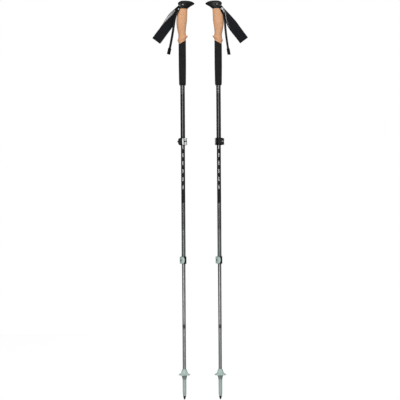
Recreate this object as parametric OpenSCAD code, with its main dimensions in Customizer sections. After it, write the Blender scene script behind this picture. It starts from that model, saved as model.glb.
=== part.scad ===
// A pair of three-section trekking poles with cork grips, wrist straps and cam lever locks.
// +Z is up along the shafts, the tips stand on z = 0, and the origin is midway between them.
// Each pole is built on the z axis, thumb rest towards +X and strap towards -X. The left pole stands
// at -X as built. The right one stands at +X with its grip and strap mirrored.

/* [Pair] */
// Distance between the two shafts
pole_spacing = 126; // [110:1:200]

/* [Shafts] */
// Outside diameter of the upper shaft
upper_d = 16; // [15.5:0.1:16.5]
// Outside diameter of the middle shaft
middle_d = 14; // [13.8:0.1:14.1]
// Outside diameter of the lower shaft
lower_d = 12; // [11.8:0.1:12.1]
// Wall thickness of the tubes
tube_wall = 0.8; // [0.7:0.05:0.8]
// Bare length of the lower shaft, between the basket and its lock
lower_bare = 370; // [250:5:390]
// Bare length of the middle shaft, between the two locks
middle_bare = 390; // [250:5:400]
// Bare length of the upper shaft, between its lock and the foam
upper_bare = 184; // [150:2:230]
// How far a shaft stays inside the next one at full length
overlap = 50; // [40:1:60]

/* [Grip] */
// Height of the foam under the cork
foam_h = 151; // [120:1:180]
// Largest radius of the foam
foam_r = 13; // [12:0.1:13.2]
// Height of the cork, measured on the shaft's axis
cork_h = 118; // [116:1:120]

/* [Locks] */
// Height of a lock
lock_h = 26; // [24:1:28]

/* [Tip] */
// Length from the ground to the top of the basket
tip_h = 106; // [104:1:110]
// Radius of the basket's rim
basket_r = 20.5; // [17:0.5:25]

/* [Strap] */
// Width of the padded part of the wrist strap
strap_w = 34; // [28:1:36]
// Width of the webbing where it enters the head
webbing_w = 17; // [14:1:18]
// Width of the loose tail
tail_w = 15; // [12:1:16]

/* [Hidden] */
$fn = 64;
PARTS = [
    "top_cap", "grip_head", "grip_rivet", "strap_pin", "strap_block",
    "cork_grip", "foam_grip", "upper_shaft",
    "strap_webbing", "strap_liner", "strap_tail", "tail_tab",
    "upper_lock_collar", "upper_lock_lever", "upper_lock_pin", "upper_lock_screw",
    "middle_shaft", "middle_bush",
    "lower_lock_collar", "lower_lock_lever", "lower_lock_pin", "lower_lock_screw",
    "lower_shaft", "lower_bush", "tip_ferrule", "carbide_tip", "basket"
];
NODES = [for (side = ["left", "right"]) for (part = PARTS) str(side, "_", part)];
node = "all";

BLACK = [0.06, 0.06, 0.065];
SHAFT_BLACK = [0.12, 0.12, 0.125];
SHAFT_GREY = [0.5, 0.51, 0.51];
CORK = [0.85, 0.63, 0.45];
FOAM = [0.13, 0.13, 0.135];
SILVER = [0.8, 0.8, 0.8];
MINT = [0.67, 0.76, 0.73];
STEEL = [0.62, 0.62, 0.63];
LINER = [0.7, 0.7, 0.7];
NYLON = [0.2, 0.2, 0.2];

EPS = 0.01;
FIT = 0.05;             // running clearance on a radius
upper_r = upper_d / 2;
middle_r = middle_d / 2;
lower_r = lower_d / 2;

// Heights, from the ground up
ferrule_bottom = 12.5;
lower_lock_z = tip_h + lower_bare;
upper_lock_z = lower_lock_z + lock_h + middle_bare;
foam_z = upper_lock_z + lock_h + upper_bare;
cork_z = foam_z + foam_h;
head_z = cork_z + cork_h;
top_z = head_z + 29;

// The strap hangs on a pin across the head
pin_x = -8;
pin_z = head_z + 11;
pin_r = 2;
rivet_x = 3;
rivet_z = head_z + 14;
head_side = 13.2;        // half width of the head where the rivet comes out
cavity_w = 19;           // room for the webbing in the head
shaft_top = head_z + 3;
sleeve_r = 9.5;          // the head's moulded sleeve, under the cork
sleeve_z = cork_z - 14;

// ---------- Curves ----------

// A point of the smooth curve through points a, b, c, d, between b and c
function blend4(a, b, c, d, t) =
    0.5 * (2 * b + (c - a) * t + (2 * a - 5 * b + 4 * c - d) * t * t + (3 * b - a - 3 * c + d) * t * t * t);
// The smooth curve through p, with k steps for each of its spans
function spline(p, k) = let (n = len(p) - 1) concat(
    [for (i = [0 : n - 1]) for (j = [0 : k - 1])
        blend4(p[max(i - 1, 0)], p[i], p[i + 1], p[min(i + 2, n)], j / k)],
    [p[n]]);
function smooth(t) = let (u = max(0, min(1, t))) u * u * (3 - 2 * u);
function unit(v) = v / norm(v);

// ---------- Lofted bodies ----------

// A row of a loft is [height, back, front, half width, how far the front narrows,
// slope towards the front, squareness of the back]
LOFT_SIDES = 32;
function bulge(v, power) = sign(v) * pow(abs(v), power);
function loft_ring(row) = let (mid = (row[1] + row[2]) / 2, half = (row[2] - row[1]) / 2)
    [for (i = [0 : LOFT_SIDES - 1])
        let (t = 360 * i / LOFT_SIDES, p = cos(t) < 0 ? row[6] : 1, x = mid + half * bulge(cos(t), p))
        [x, row[3] * bulge(sin(t), p) * (1 - row[4] * (1 + cos(t)) / 2), row[0] + row[5] * x]];
// Faces between rings of n points each; the ends are flat unless the rings close on themselves
function tube_faces(rings, n, closed = false) = concat(
    [for (i = [0 : rings - (closed ? 1 : 2)]) for (j = [0 : n - 1])
        let (a = i * n, b = ((i + 1) % rings) * n, k = (j + 1) % n)
            each [[a + j, b + j, b + k], [a + j, b + k, a + k]]],
    closed ? [] : [[for (j = [0 : n - 1]) j], [for (j = [n - 1 : -1 : 0]) (rings - 1) * n + j]]);
module loft(rows, steps) {
    rings = [for (row = spline(rows, steps)) loft_ring(row)];
    polyhedron([for (ring = rings) each ring], tube_faces(len(rings), LOFT_SIDES), convexity = 4);
}

// ---------- Grip ----------

BOUNDARY_SLOPE = 0.55;    // the joint between cork and foam rises towards the thumb side
cork_rows = [
    [cork_z,      -12.8, 12.8, 12.8, 0,    BOUNDARY_SLOPE, 1],
    [cork_z + 6,  -13.4, 13.6, 13.4, 0,    0.50, 1],
    [cork_z + 14, -16.6, 19.8, 15.6, 0.05, 0.42, 1],
    [cork_z + 20, -14.0, 14.6, 13.9, 0,    0.34, 1],
    [cork_z + 31, -13.6, 12.6, 13.1, 0,    0.20, 1],
    [cork_z + 44, -16.6, 13.2, 14.0, 0,    0.06, 1],
    [cork_z + 59, -19.3, 14.9, 14.9, 0,    0, 1],
    [cork_z + 75, -19.8, 17.1, 15.2, 0,    0, 1],
    [cork_z + 92, -18.6, 18.2, 14.9, 0,    0, 1],
    [cork_z + 107, -15.0, 18.6, 14.2, 0,   0, 0.9],
    [head_z,      -12.6, 19.2, 13.6, 0.03, 0, 0.8]
];
// The head's skirt covers the back of the cork, down a steep slope under the strap
module skirt_space() {
    translate([-5, 0, head_z + EPS]) rotate([0, -63.5, 0]) translate([-60, -30, 0]) cube([60, 60, 40]);
}
module cork_grip() {
    color(CORK) difference() {
        loft(cork_rows, 4);
        skirt_space();
        translate([0, 0, cork_z - 20]) cylinder(r = sleeve_r + FIT, h = cork_h + 40);
    }
}
module foam_profile() {
    polygon([
        [upper_r + FIT, foam_z + 2], [upper_r + 2, foam_z], [foam_r - 2.4, foam_z + 1.2],
        [foam_r - 1.2, foam_z + 4.5], [foam_r - 0.8, foam_z + 11], [foam_r, foam_z + 70],
        [foam_r, cork_z + 20], [sleeve_r + FIT, cork_z + 20], [sleeve_r + FIT, sleeve_z - 0.2],
        [upper_r + FIT, sleeve_z - 0.2]
    ]);
}
module foam_grip() {
    color(FOAM) difference() {
        rotate_extrude() foam_profile();
        translate([0, 0, cork_z - 0.1]) rotate([0, -atan(BOUNDARY_SLOPE), 0])
            translate([-40, -40, 0]) cube(80);
    }
}
head_rows = [
    [head_z + 0.1,  -12.6, 19.6, 13.6, 0.03, 0, 0.8],
    [head_z + 3,    -12.9, 23.0, 13.8, 0.12, 0, 0.62],
    [head_z + 7.5,  -13.4, 28.6, 14.1, 0.26, 0, 0.5],
    [head_z + 12,   -13.8, 36.6, 14.4, 0.42, 0, 0.48],
    [head_z + 15.5, -14.0, 42.6, 14.5, 0.50, 0, 0.48],
    [head_z + 17.5, -14.2, 43.6, 14.5, 0.52, 0, 0.48]
];
cap_z = head_z + 17.5;
cap_rows = [
    [cap_z + 0.1,  -14.2, 43.7, 14.5, 0.52, 0, 0.48],
    [cap_z + 2.5,  -14.2, 43.2, 14.5, 0.52, 0, 0.48],
    [cap_z + 5.5,  -12.4, 39.6, 13.6, 0.48, 0, 0.55],
    [cap_z + 8.5,  -8.4,  33.5, 11.6, 0.42, 0, 0.65],
    [cap_z + 10.6, -4.0,  26.5, 8.4,  0.34, 0, 0.8],
    [top_z,        2.5,   18.5, 3.6,  0.20, 0, 1]
];
module top_cap() {
    color(BLACK) loft(cap_rows, 3);
}
module strap_cavity() {
    back = pin_x - 20;
    translate([back, -cavity_w / 2, pin_z - 5.2]) cube([-2.5 - back, cavity_w, cap_z - pin_z + 3.4]);
    translate([back, -cavity_w / 2, head_z - 3]) cube([-10.2 - back, cavity_w, 12]);
}
module grip_head() {
    color(BLACK) difference() {
        union() {
            loft(head_rows, 3);
            intersection() {
                loft(cork_rows, 4);
                translate([-0.2, 0, 0.2]) skirt_space();
            }
            translate([0, 0, sleeve_z]) cylinder(r = sleeve_r, h = head_z - sleeve_z + 1);
        }
        strap_cavity();
        translate([0, 0, sleeve_z - 1]) cylinder(r = upper_r + FIT, h = shaft_top - sleeve_z + 1.2);
        translate([pin_x, 0, pin_z]) rotate([90, 0, 0]) cylinder(r = pin_r, h = 26, center = true);
        translate([-2.5 - EPS, -8, pin_z - 5]) cube([9.5, 16, 10]);
        translate([rivet_x, 0, rivet_z]) rotate([90, 0, 0]) cylinder(r = 1.5, h = 60, center = true);
    }
}
module grip_rivet() {
    color(STEEL) translate([rivet_x, 0, rivet_z]) rotate([90, 0, 0]) {
        cylinder(r = 1.5, h = 2 * head_side, center = true);
        for (end = [-1, 1]) translate([0, 0, end * (head_side + 0.6)])
            cylinder(r = 2.6, h = 2.4, center = true);
    }
}
module strap_pin() {
    color(STEEL) translate([pin_x, 0, pin_z]) rotate([90, 0, 0]) cylinder(r = pin_r, h = 26, center = true);
}
module strap_block() {
    color(NYLON) difference() {
        translate([-2.3, -7.8, pin_z - 4.8]) cube([9.1, 15.6, 9.6]);
        translate([rivet_x, 0, rivet_z]) rotate([90, 0, 0]) cylinder(r = 1.5 + FIT, h = 40, center = true);
        for (tooth = [-3 : 2 : 3])
            translate([-2.3, 0, pin_z + tooth]) rotate([0, 45, 0]) cube([0.9, 40, 0.9], center = true);
    }
}

// ---------- Wrist strap ----------

WEB_T = 1.5;              // thickness of the webbing
LINER_T = 1.4;            // thickness of the padded liner
ROOT_R = pin_r + 0.35 + WEB_T / 2;
NECK_GAP = 1.2;           // half the distance between the two legs where they leave the head
END_GAP = 6.2;            // and just before the fold at the far end
TURN_R = 5;               // radius of the fold at the far end
// The middle of the flattened loop, from the pin, as [x, z]
strap_route = [[0, 0], [-8, -5.5], [-15.5, -16], [-22, -28], [-28.5, -41.5], [-37, -58], [-49, -77],
    [-65, -98.5], [-80, -118.5]];
route = spline(strap_route, 4);
route_n = len(route);
function route_t(i) = unit(route[min(i + 1, route_n - 1)] - route[max(i - 1, 0)]);
function route_share(i) = i / (route_n - 1);
// The loop turns a quarter about its own length, from the slot to its far end
function route_twist(i) = 90 * smooth((route_share(i) - 0.04) / 0.9);
// The legs run close together out of the head, stand open apart half way, and close into the fold
function route_gap(i, open) = ROOT_R
    + (NECK_GAP - ROOT_R) * smooth(route_share(i) / 0.09)
    + (open - NECK_GAP) * smooth((route_share(i) - 0.1) / 0.4)
    + (END_GAP - open) * smooth((route_share(i) - 0.5) / 0.3)
    + (TURN_R - END_GAP) * smooth((route_share(i) - 0.85) / 0.15);
BOW = 1;                  // how far the back leg bows out beyond the front one
function bow_share(i) = pow(sin(180 * max(0, min(1, (route_share(i) - 0.12) / 0.74))), 2);
function route_w(i) = webbing_w + (strap_w - webbing_w) * smooth((route_share(i) - 0.15) / 0.6);
// The direction from the middle of the loop to its far leg; lay is 1 or -1, for which leg starts on top
function leg_dir(i, lay) = let (t = route_t(i), a = route_twist(i))
    [lay * cos(a) * t[1], sin(a), -lay * cos(a) * t[0]];
function width_dir(i, lay) = let (t = route_t(i), a = route_twist(i))
    [-lay * sin(a) * t[1], cos(a), lay * sin(a) * t[0]];
function middle_3d(i) = [pin_x + route[i][0], 0, pin_z + route[i][1]];
function along_3d(i) = let (t = route_t(i)) [t[0], 0, t[1]];
// Stations of the ribbon as [centre, width direction, outward direction, width]
function leg_station(i, lay, open, leg, inset, trim) =
    let (reach = route_gap(i, open) - inset + (leg > 0 ? BOW * bow_share(i) : 0))
    [middle_3d(i) + leg * reach * leg_dir(i, lay), width_dir(i, lay), leg * leg_dir(i, lay),
        route_w(i) - trim];
function turn_station(i, lay, angle, r, trim) =
    let (out = -cos(angle) * leg_dir(i, lay) + sin(angle) * along_3d(i))
    [middle_3d(i) + r * out, width_dir(i, lay), out, route_w(i) - trim];
TURN_STEPS = 8;
function loop_stations(lay, open, first, inset, trim) = let (last = route_n - 1) concat(
    [for (i = [first : last - 1]) leg_station(i, lay, open, -1, inset, trim)],
    [for (k = [0 : TURN_STEPS]) turn_station(last, lay, 180 * k / TURN_STEPS, TURN_R - inset, trim)],
    [for (i = [last - 1 : -1 : first]) leg_station(i, lay, open, 1, inset, trim)]);
function root_stations(lay) =
    [for (k = [1 : TURN_STEPS - 1]) turn_station(0, lay, 180 + 180 * k / TURN_STEPS, ROOT_R, 0)];
function ribbon_ring(s, thick) = [for (c = [[-1, -1], [1, -1], [1, 1], [-1, 1]])
    s[0] + c[0] * s[3] / 2 * s[1] + c[1] * thick / 2 * s[2]];
module ribbon(stations, thick, closed, flip) {
    rings = [for (s = stations) ribbon_ring(s, thick)];
    faces = tube_faces(len(rings), 4, closed);
    polyhedron([for (ring = rings) each ring],
        flip ? [for (f = faces) [for (j = [len(f) - 1 : -1 : 0]) f[j]]] : faces, convexity = 8);
}
module strap_webbing(lay, open) {
    color(BLACK) ribbon(concat(loop_stations(lay, open, 0, 0, 0), root_stations(lay)), WEB_T, true, lay > 0);
}
liner_start = 8;          // the liner starts a quarter of the way down the loop
module strap_liner(lay, open) {
    inset = (WEB_T + LINER_T) / 2 + 0.1;
    color(LINER) ribbon(loop_stations(lay, open, liner_start, inset, 3), LINER_T, false, lay > 0);
}
// The loose end of the webbing, from the pin, as [x, z]
tail_route = [[-3.6, -6.4], [-5.4, -10], [-8.3, -17], [-12.1, -28], [-16, -43], [-18.6, -62],
    [-20.8, -84], [-24.4, -110], [-29, -138], [-32, -154]];
tail = spline(tail_route, 3);
TAIL_LEAN = 1.7;          // how far each tail leans from this route, out on one pole and in on the other
TAIL_TURN = 28;           // how far its flat side is turned from the strap's pin
TAIL_ASIDE = 3.8;         // how far a tail below the loop hangs forward, clear of the loop's edge
TAIL_TUCK = 0.6;          // how far that tail is tucked against the cork in its first part
function tail_station(i, lay) = let (
        t = unit(tail[min(i + 1, len(tail) - 1)] - tail[max(i - 1, 0)]),
        a = TAIL_TURN * smooth(i / 12),
        across = [-lay * sin(a) * t[1], cos(a), lay * sin(a) * t[0]],
        out = [lay * cos(a) * t[1], sin(a), -lay * cos(a) * t[0]],
        aside = lay > 0 ? -TAIL_ASIDE * smooth(i / 10) : 0,
        tuck = lay > 0 ? TAIL_TUCK * pow(sin(180 * min(1, i / 18)), 2) : 0)
    [[pin_x + tail[i][0] + tuck, aside, pin_z + tail[i][1]], across, out, tail_w];
module lean(lay) {
    translate([pin_x, 0, pin_z]) rotate([0, lay * TAIL_LEAN, 0]) translate([-pin_x, 0, -pin_z]) children();
}
module strap_tail(lay) {
    stations = [for (i = [0 : len(tail) - 1]) tail_station(i, lay)];
    color(BLACK) lean(lay) ribbon(stations, WEB_T, false, lay > 0);
}
// A moulded stop on the end of the tail
TAB_H = 22;
module tail_tab(lay) {
    s = tail_station(len(tail) - 1, lay);
    down = cross(s[1], s[2]);
    dir = down[2] < 0 ? down : -down;
    color(BLACK) lean(lay) multmatrix([
        [s[1][0], s[2][0], dir[0], s[0][0]],
        [s[1][1], s[2][1], dir[1], s[0][1]],
        [s[1][2], s[2][2], dir[2], s[0][2]],
        [0, 0, 0, 1]])
        difference() {
            translate([-(tail_w + 2) / 2, -2.1, -4]) cube([tail_w + 2, 4.2, TAB_H]);
            translate([-(tail_w + 0.2) / 2, -WEB_T / 2 - 0.1, -5]) cube([tail_w + 0.2, WEB_T + 0.2, 5.2]);
        }
}

// ---------- Shafts ----------

module tube(r, from, to) {
    translate([0, 0, from]) difference() {
        cylinder(r = r, h = to - from);
        translate([0, 0, -1]) cylinder(r = r - tube_wall, h = to - from + 2);
    }
}
LIP = 4;                  // a lock's lip, below the end of the outer tube
middle_top = upper_lock_z + lock_h + overlap;
lower_top = lower_lock_z + lock_h + overlap;
module upper_shaft() {
    color(SHAFT_BLACK) tube(upper_r, upper_lock_z + LIP, shaft_top);
}
module middle_shaft() {
    color(SHAFT_BLACK) tube(middle_r, lower_lock_z + LIP, middle_top);
}
lower_shaft_end = 78;
module lower_shaft() {
    color(SHAFT_GREY) tube(lower_r, lower_shaft_end, lower_top);
}
// A plug in a shaft's upper end, whose collar guides it in the next tube
module bush(r, r_guide, top) {
    color(NYLON) difference() {
        union() {
            translate([0, 0, top - 16]) cylinder(r = r - tube_wall - FIT, h = 16);
            translate([0, 0, top + 0.1]) cylinder(r = r_guide, h = 6);
            translate([0, 0, top - EPS]) cylinder(r = r - tube_wall - FIT, h = 0.2);
        }
        translate([0, 0, top - 17]) cylinder(r = r - tube_wall - 2, h = 30);
    }
}

// ---------- Locks ----------

// A lock's clamp has its ears towards -Y, its lever's pin at +X and its screw's head at -X.
// Its row is [radius of the outer tube, radius of the inner tube, x and y of the lever's pin,
// reach of the ears to the left, reach of the ears forwards, radius of the lever's lobes,
// angle round the collar where the lever's arm ends]
UPPER_LOCK = [upper_r, middle_r, 10.3, -13.5, 15.4, 17.4, 5.6, 118];
LOWER_LOCK = [middle_r, lower_r, 10, -10.8, 6.8, 14.6, 3.9, 109];
COLLAR_WALL = 2.6;
EAR_GAP = 1.4;
CAM = 0.5;                // how far the lobes are off centre
SCREW_R = 1.45;
BARREL_R = 2.3;
LEVER_T = 2.8;
FORK = 2.2;               // half the gap between the lever's two lobes
LEVER_INSET = 1;          // how much shorter the lever is than the collar, at each end
function collar_r(lock) = lock[0] + COLLAR_WALL;
// The ear that the lever presses on ends where the cam's high side reaches
function ear_face(lock) = lock[2] - lock[6] - CAM - 0.1;
module ear_block(lock) {
    translate([-lock[4], -lock[5], 1]) cube([lock[4] + ear_face(lock), lock[5], lock_h - 2]);
}
module ears(lock) {
    bevel = 6;
    difference() {
        ear_block(lock);
        for (z = [0, lock_h]) translate([-lock[4], -lock[5], z]) {
            rotate([45, 0, 0]) cube([90, bevel, bevel], center = true);
            rotate([0, 45, 0]) cube([bevel, 90, bevel], center = true);
        }
        translate([-lock[4], -lock[5], 0]) rotate([0, 0, 45]) cube([bevel - 2, bevel - 2, 90], center = true);
    }
}
module collar(lock) {
    color(BLACK) difference() {
        union() {
            cylinder(r = collar_r(lock), h = lock_h);
            ears(lock);
        }
        translate([0, 0, LIP]) cylinder(r = lock[0] + FIT, h = lock_h);
        translate([0, 0, -1]) cylinder(r = lock[1] + FIT, h = lock_h);
        translate([-EAR_GAP, -40, -1]) cube([EAR_GAP, 40, lock_h + 2]);
        translate([0, lock[3], lock_h / 2]) rotate([0, 90, 0])
            cylinder(r = SCREW_R + FIT, h = 60, center = true);
        // grooves that let the clamp flex
        for (z = [7, lock_h - 7]) translate([0, collar_r(lock) + 1.2, z]) rotate([0, 90, 0])
            cylinder(r = 1.6, h = 12, center = true);
    }
}
module sector(r1, r2, from, to) {
    intersection() {
        difference() {
            circle(r = r2);
            circle(r = r1);
        }
        polygon([for (k = [0 : 4]) let (a = from + (to - from) * k / 4) 60 * [cos(a), sin(a)], [0, 0]]);
    }
}
module lever(lock, tint) {
    pin = [lock[2], lock[3]];
    lobe = lock[6];
    r1 = collar_r(lock) + 0.4;
    r2 = r1 + LEVER_T;
    high = lock_h - 2 * LEVER_INSET;
    color(tint) translate([0, 0, LEVER_INSET]) difference() {
        union() {
            linear_extrude(high) sector(r1, r2, -38, lock[7]);
            translate(pin + CAM * [cos(160), sin(160)]) cylinder(r = lobe, h = high);
            linear_extrude(high) difference() {
                polygon([pin + lobe * [cos(-15), sin(-15)], r2 * [cos(6), sin(6)], [0, 0],
                    pin + lobe * [0, 0.7]]);
                circle(r = r1);
            }
        }
        translate([pin[0], pin[1], -1]) cylinder(r = BARREL_R + FIT, h = high + 2);
        translate([pin[0] - 10, pin[1] - 10, high / 2 - FORK]) cube([20, 10 + lobe * 0.82, 2 * FORK]);
        // the arm's end is rounded
        rotate([0, 0, lock[7]]) translate([r1 - 1, -high * 0.62, high / 2]) rotate([0, 90, 0])
            difference() {
                translate([-high, 0, 0]) cube([2 * high, high, LEVER_T + 3]);
                translate([0, 0, -1]) cylinder(r = high * 0.62, h = LEVER_T + 6);
            }
    }
}
module lock_pin(lock) {
    color(STEEL) translate([lock[2], lock[3], lock_h / 2]) difference() {
        cylinder(r = BARREL_R, h = lock_h - 4, center = true);
        rotate([0, 90, 0]) cylinder(r = SCREW_R + FIT, h = 20, center = true);
    }
}
HEAD_R = 3.4;
HEAD_H = 3;
module screw(lock) {
    seat = -lock[4] - 0.1;
    end_x = lock[2] + min(3.4, lock[6] * 0.68);
    color(STEEL) translate([0, lock[3], lock_h / 2]) difference() {
        union() {
            translate([seat - 0.5, 0, 0]) rotate([0, 90, 0]) cylinder(r = SCREW_R, h = end_x - seat + 0.5);
            translate([seat - HEAD_H, 0, 0]) rotate([0, 90, 0])
                cylinder(r1 = HEAD_R - 0.8, r2 = HEAD_R, h = 0.8);
            translate([seat - HEAD_H + 0.8, 0, 0]) rotate([0, 90, 0])
                cylinder(r = HEAD_R, h = HEAD_H - 0.8);
        }
        translate([seat - HEAD_H, 0, 0]) cube([2.2, 2 * HEAD_R + 1, 1.1], center = true);
    }
}

// ---------- Tip ----------

thread_r = 6.9;
basket_low = tip_h - 29.5;
GUARD_R = 6.6;            // the straight stretch that a rubber tip cover grips
module tip_ferrule() {
    color(MINT) difference() {
        rotate_extrude() polygon([
            [2.5, ferrule_bottom], [5.5, ferrule_bottom], [5.9, ferrule_bottom + 2.5],
            [6.3, ferrule_bottom + 12], [GUARD_R, 34], [GUARD_R, 70], [7.4, 73.5],
            [7.4, basket_low - 0.2], [thread_r, basket_low - 0.2], [thread_r, tip_h - 8],
            [lower_r + FIT, tip_h - 8], [lower_r + FIT, lower_shaft_end - 0.1], [2.5, lower_shaft_end - 0.1]
        ]);
        for (turn = [0, 180]) rotate([0, 0, turn]) translate([GUARD_R, 0, 67]) rotate([0, 90, 0])
            cylinder(r = 1.2, h = 3, center = true);
    }
}
TIP_STEM = 14;
module carbide_tip() {
    color(BLACK) difference() {
        union() {
            translate([0, 0, ferrule_bottom - EPS]) cylinder(r = 2.45, h = TIP_STEM);
            rotate_extrude() polygon([
                [0, 0.4], [1.2, 0.4], [1.7, 0], [2.3, 0.3], [2.6, 3.6], [3.6, 5.2], [4.5, 9.4],
                [4.9, ferrule_bottom - 0.1], [0, ferrule_bottom - 0.1]
            ]);
            translate([0, 0, ferrule_bottom - 0.2]) cylinder(r = 2.45, h = 1);
        }
        translate([0, 0, -1]) cylinder(r1 = 2, r2 = 0, h = 2.2);
    }
}
NOTCHES = 6;
module basket() {
    color(MINT) difference() {
        rotate_extrude() polygon([
            [lower_r + 0.15, tip_h], [7.8, tip_h], [9, tip_h - 3], [11, tip_h - 10],
            [11.8, tip_h - 13.6], [basket_r, tip_h - 18.2], [basket_r, tip_h - 20.8],
            [12.4, tip_h - 19.8], [10.2, tip_h - 22.5], [9, tip_h - 25], [8.1, basket_low],
            [thread_r + FIT, basket_low], [thread_r + FIT, tip_h - 7.8], [lower_r + 0.15, tip_h - 7.8]
        ]);
        for (k = [0 : NOTCHES - 1]) rotate([0, 0, 360 * (k + 0.5) / NOTCHES])
            translate([basket_r + 2.9, 0, tip_h - 26]) cylinder(r = 4.4, h = 16);
    }
}

// ---------- Assembly ----------

// How the upper lock is turned on each pole, seen from above, and the lower lock on both
upper_turn = [-3, 88];
lower_turn = 180;
// Which leg of the strap lies on top where it leaves the head
strap_lay = [1, -1];
// Half the distance between the two legs of each strap, half way along
strap_open = [6.5, 3];
module upper_lock(side) {
    translate([0, 0, upper_lock_z]) rotate([0, 0, upper_turn[side]]) children();
}
module lower_lock() {
    translate([0, 0, lower_lock_z]) rotate([0, 0, lower_turn]) children();
}
module at_pole(side) {
    translate([(side - 0.5) * pole_spacing, 0, 0]) children();
}
function shown(side, part) = node == "all" || node == str(["left", "right"][side], "_", part);

for (side = [0, 1]) at_pole(side) {
    lay = strap_lay[side];
    mirror([side, 0, 0]) {
        if (shown(side, "top_cap")) top_cap();
        if (shown(side, "grip_head")) grip_head();
        if (shown(side, "grip_rivet")) grip_rivet();
        if (shown(side, "strap_pin")) strap_pin();
        if (shown(side, "strap_block")) strap_block();
        if (shown(side, "cork_grip")) cork_grip();
        if (shown(side, "foam_grip")) foam_grip();
        if (shown(side, "strap_webbing")) strap_webbing(lay, strap_open[side]);
        if (shown(side, "strap_liner")) strap_liner(lay, strap_open[side]);
        if (shown(side, "strap_tail")) strap_tail(lay);
        if (shown(side, "tail_tab")) tail_tab(lay);
    }
    if (shown(side, "upper_shaft")) upper_shaft();
    if (shown(side, "upper_lock_collar")) upper_lock(side) collar(UPPER_LOCK);
    if (shown(side, "upper_lock_lever")) upper_lock(side) lever(UPPER_LOCK, SILVER);
    if (shown(side, "upper_lock_pin")) upper_lock(side) lock_pin(UPPER_LOCK);
    if (shown(side, "upper_lock_screw")) upper_lock(side) screw(UPPER_LOCK);
    if (shown(side, "middle_shaft")) middle_shaft();
    if (shown(side, "middle_bush")) bush(middle_r, upper_r - tube_wall - FIT, middle_top);
    if (shown(side, "lower_lock_collar")) lower_lock() collar(LOWER_LOCK);
    if (shown(side, "lower_lock_lever")) lower_lock() lever(LOWER_LOCK, MINT);
    if (shown(side, "lower_lock_pin")) lower_lock() lock_pin(LOWER_LOCK);
    if (shown(side, "lower_lock_screw")) lower_lock() screw(LOWER_LOCK);
    if (shown(side, "lower_shaft")) lower_shaft();
    if (shown(side, "lower_bush")) bush(lower_r, middle_r - tube_wall - FIT, lower_top);
    if (shown(side, "tip_ferrule")) tip_ferrule();
    if (shown(side, "carbide_tip")) carbide_tip();
    if (shown(side, "basket")) basket();
}
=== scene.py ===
"""Looks of a pair of trekking poles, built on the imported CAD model."""

import math
from contextlib import contextmanager

import bmesh
import bpy
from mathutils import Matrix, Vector


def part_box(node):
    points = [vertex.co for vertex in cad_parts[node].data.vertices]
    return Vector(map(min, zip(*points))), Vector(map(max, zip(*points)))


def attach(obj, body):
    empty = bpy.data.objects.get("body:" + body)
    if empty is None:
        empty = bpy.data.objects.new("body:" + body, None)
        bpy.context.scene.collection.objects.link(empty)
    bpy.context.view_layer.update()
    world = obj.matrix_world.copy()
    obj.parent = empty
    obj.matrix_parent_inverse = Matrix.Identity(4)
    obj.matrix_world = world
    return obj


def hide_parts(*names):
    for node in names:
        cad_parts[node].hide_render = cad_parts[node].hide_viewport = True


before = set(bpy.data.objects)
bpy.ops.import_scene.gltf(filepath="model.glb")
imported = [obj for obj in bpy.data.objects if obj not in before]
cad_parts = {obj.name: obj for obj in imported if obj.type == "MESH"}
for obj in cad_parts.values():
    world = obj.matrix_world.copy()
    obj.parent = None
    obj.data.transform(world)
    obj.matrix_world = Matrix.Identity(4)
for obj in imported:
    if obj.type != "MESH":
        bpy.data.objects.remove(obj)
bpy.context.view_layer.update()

MM = 0.001
SIDES = ("left", "right")
scene = bpy.context.scene


# ---------------- places, from the CAD model


def span(node):
    """A node's lowest and highest corner, in millimetres."""
    low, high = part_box(node)
    return low / MM, high / MM


def axis_x(side):
    """Where a pole's axis stands, in metres."""
    low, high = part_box(f"{side}_lower_shaft")
    return (low.x + high.x) / 2


# Heights in millimetres. The poles are mirror images, so the left one gives them for both.
HEAD_Z = span("left_cork_grip")[1].z
CORK_H = 118
CORK_Z = HEAD_Z - CORK_H
# the cap's rows count from 0.1 mm below its lowest point
CAP_Z = span("left_top_cap")[0].z - 0.1
FOAM_Z = span("left_foam_grip")[0].z
SHAFT_TOP_Z = span("left_upper_shaft")[1].z
PIN_X = -8.0
PIN_Z = sum(corner.z for corner in span("left_strap_pin")) / 2
BASKET_TOP_Z = span("left_basket")[1].z
FERRULE_Z = span("left_tip_ferrule")[0].z


# ---------------- curves and meshes


def curve_point(a, b, c, d, t):
    """The smooth curve's point between b and c; each point is a tuple of numbers."""
    out = []
    for p, q, r, s in zip(a, b, c, d):
        second, third = 2 * p - 5 * q + 4 * r - s, 3 * q - p - 3 * r + s
        out.append(0.5 * (2 * q + (r - p) * t + second * t * t + third * t**3))
    return tuple(out)


def spline(points, steps):
    """A smooth curve through the points, with this many steps between each two."""
    n = len(points) - 1
    out = []
    for i in range(n):
        near = points[max(i - 1, 0)], points[i], points[i + 1], points[min(i + 2, n)]
        out += [curve_point(*near, j / steps) for j in range(steps)]
    return out + [tuple(points[n])]


def smooth(t):
    """A soft step from 0 to 1 while t goes from 0 to 1."""
    u = max(0.0, min(1.0, t))
    return u * u * (3 - 2 * u)


def bulge(v, power):
    """A power that keeps the sign: below 1 it squares a circle off."""
    return math.copysign(abs(v) ** power, v)


def mesh_object(name, verts, faces, uvs=None):
    """An object from points in millimetres; uvs is one list of corner pairs for each face."""
    mesh = bpy.data.meshes.new(name)
    mesh.from_pydata([Vector(v) * MM for v in verts], [], faces)
    if uvs:
        layer = mesh.uv_layers.new(name="UVMap")
        corner = 0
        for pairs in uvs:
            for pair in pairs:
                layer.data[corner].uv = pair
                corner += 1
    mesh.validate()
    obj = bpy.data.objects.new(name, mesh)
    scene.collection.objects.link(obj)
    shade_smooth(obj)
    return obj


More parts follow.
